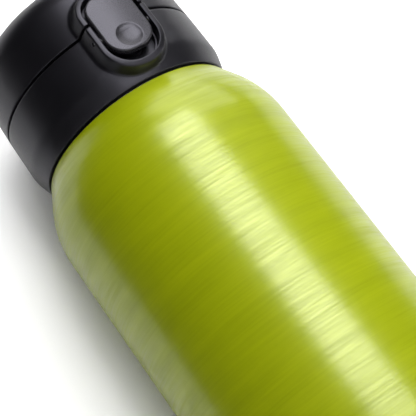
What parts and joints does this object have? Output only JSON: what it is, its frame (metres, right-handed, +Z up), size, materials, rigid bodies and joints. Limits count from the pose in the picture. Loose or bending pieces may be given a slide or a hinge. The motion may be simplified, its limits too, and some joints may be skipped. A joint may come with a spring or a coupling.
{
  "type": "water bottle",
  "caption": "Insulated steel water bottle with a lime lacquer body, black screw cap, hinged flip lid and push latch",
  "frame": {"origin": "centre of the standing ring, on the floor", "axes": "+Z up along the bottle's axis, -Y towards the latch, +Y towards the lid's hinge"},
  "size_m": [0.073, 0.073, 0.2069],
  "materials": {
    "lacquer": "clear lime lacquer over brushed steel",
    "steel": "satin",
    "solder": "gloss",
    "black_plastic": "fine texture",
    "button_plastic": "satin",
    "core_plastic": "satin",
    "silicone": "matte"
  },
  "bodies": {
    "flask": {"outer_shell": "lacquer", "inner_liner": "steel", "base_plate": "steel", "vacuum_seal": "solder", "getter": "steel"},
    "seal_ring": {"neck_gasket": "silicone"},
    "cap": {"collar_shell": "black_plastic", "thread_insert": "core_plastic", "spout": "core_plastic", "spout_gasket": "silicone", "hinge_pin": "steel", "hinge_spring": "steel", "latch_pin": "steel", "latch_spring": "steel"},
    "lid": {"lid_shell": "black_plastic", "lid_liner": "core_plastic", "lid_stopper": "silicone"},
    "latch": {"latch_button": "button_plastic"}
  },
  "joints": [
    {"name": "cap_rise", "type": "slide", "parent": "flask", "child": "seal_ring", "axis": [0, 0, 1], "range_m": [0, 0.009]},
    {"name": "cap_twist", "type": "hinge", "parent": "seal_ring", "child": "cap", "pos_m": [0, 0, 0.1812], "axis": [0, 0, 1], "range_deg": [0, 360]},
    {"name": "lid_hinge", "type": "hinge", "parent": "cap", "child": "lid", "pos_m": [0, 0.0331, 0.1854], "axis": [-1, 0, 0], "range_deg": [0, 130], "deforming": ["hinge_spring"]},
    {"name": "latch_press", "type": "hinge", "parent": "cap", "child": "latch", "pos_m": [0, -0.033, 0.18035], "axis": [1, 0, 0], "range_deg": [0, 8], "stiffness_Nm_per_rad": 0.2, "springref_deg": -5.73, "deforming": ["latch_spring"]}
  ],
  "couplings": [
    {"joint": "cap_rise", "follows": "cap_twist", "m_per_rad": 0.0014324}
  ]
}
